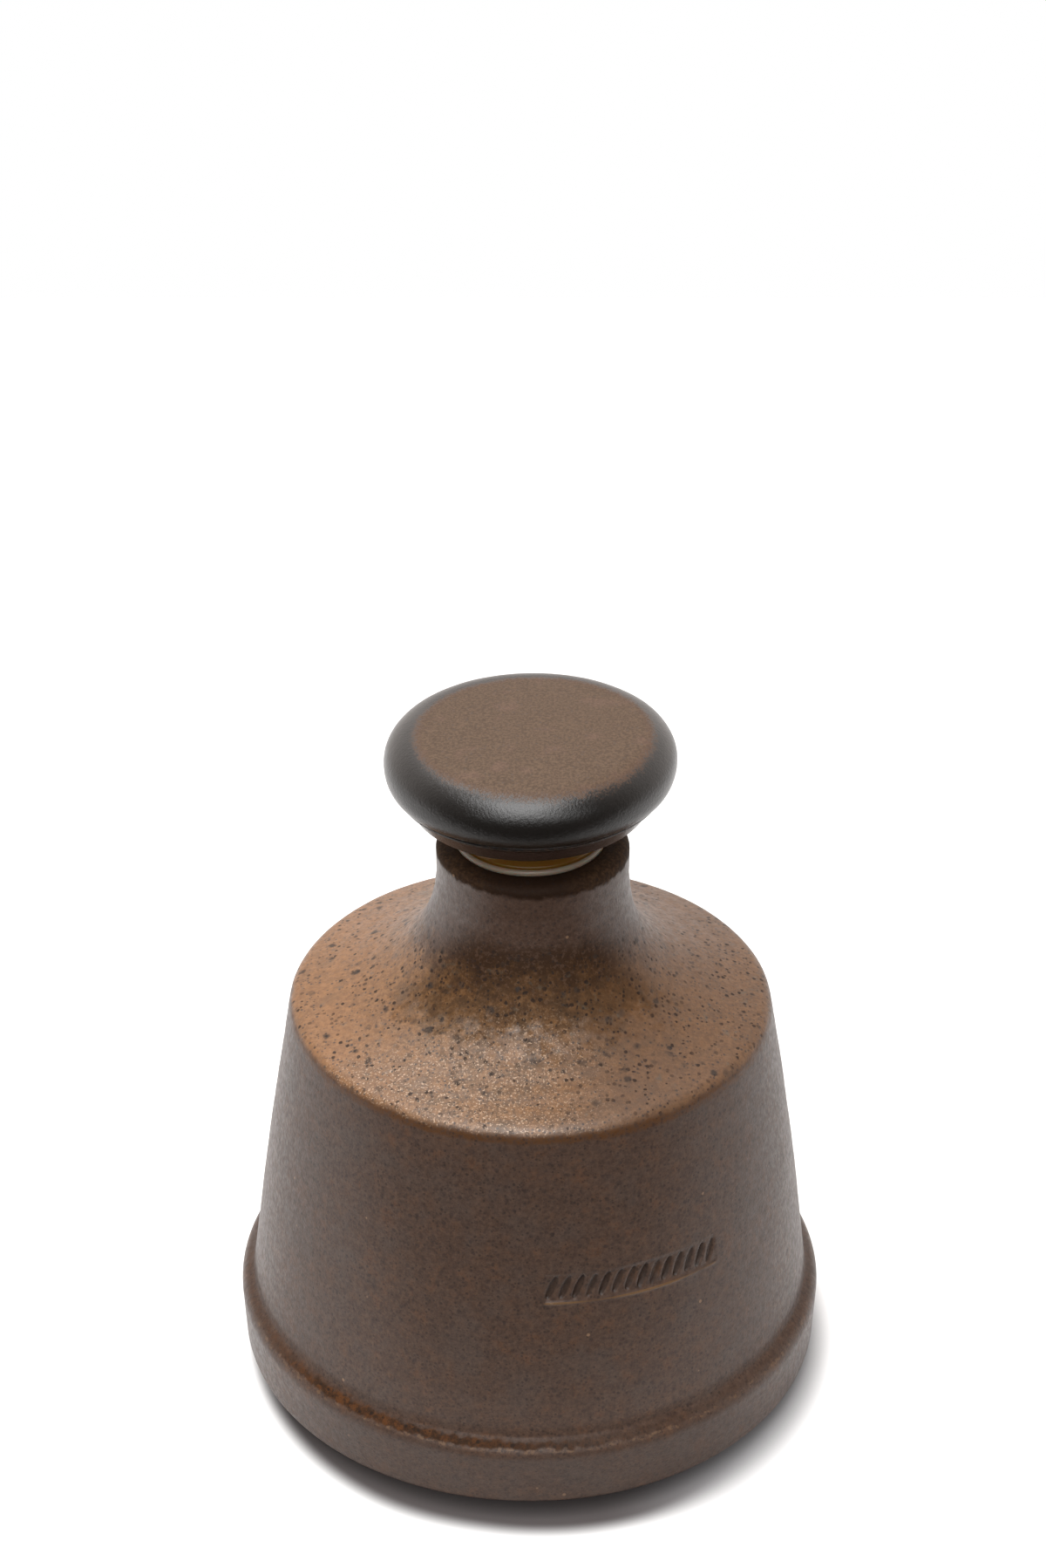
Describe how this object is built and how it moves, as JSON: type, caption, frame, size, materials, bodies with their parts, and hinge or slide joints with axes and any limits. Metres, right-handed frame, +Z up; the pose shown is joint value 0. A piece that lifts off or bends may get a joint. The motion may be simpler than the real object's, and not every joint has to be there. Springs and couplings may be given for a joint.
{
  "type": "sake bottle",
  "caption": "Small glazed stoneware bottle with a banded base, short neck and a lift-off mushroom stopper sealed by a silicone sleeve.",
  "frame": {"origin": "centre of the bottle's base, on the surface that it stands on", "axes": "+Z up along the bottle's turning axis; -Y is the side that faces the viewer, with the impressed mark just to its right, towards +X"},
  "size_m": [0.1048, 0.1048, 0.1258],
  "materials": {
    "iron_glazed_stoneware": "satin iron-brown glaze, lighter and tan on the shoulder, with dark iron specks and rust where it thins at the edges",
    "dark_glazed_stoneware": "matt grey-brown top that turns to a satin near-black rim, fine grain",
    "translucent_silicone": "soft translucent silicone, amber where it is thick and milky at the edge of its flange"
  },
  "bodies": {
    "bottle": {"bottle_body": "iron_glazed_stoneware"},
    "seal": {"stopper_seal": "translucent_silicone"},
    "cap": {"stopper_cap": "dark_glazed_stoneware"}
  },
  "joints": [
    {"name": "stopper_lift", "type": "slide", "parent": "bottle", "child": "seal", "axis": [0, 0, 1], "range_m": [0, 0.05]},
    {"name": "cap_twist", "type": "hinge", "parent": "seal", "child": "cap", "pos_m": [0, 0, 0.11], "axis": [0, 0, 1], "continuous": true}
  ]
}
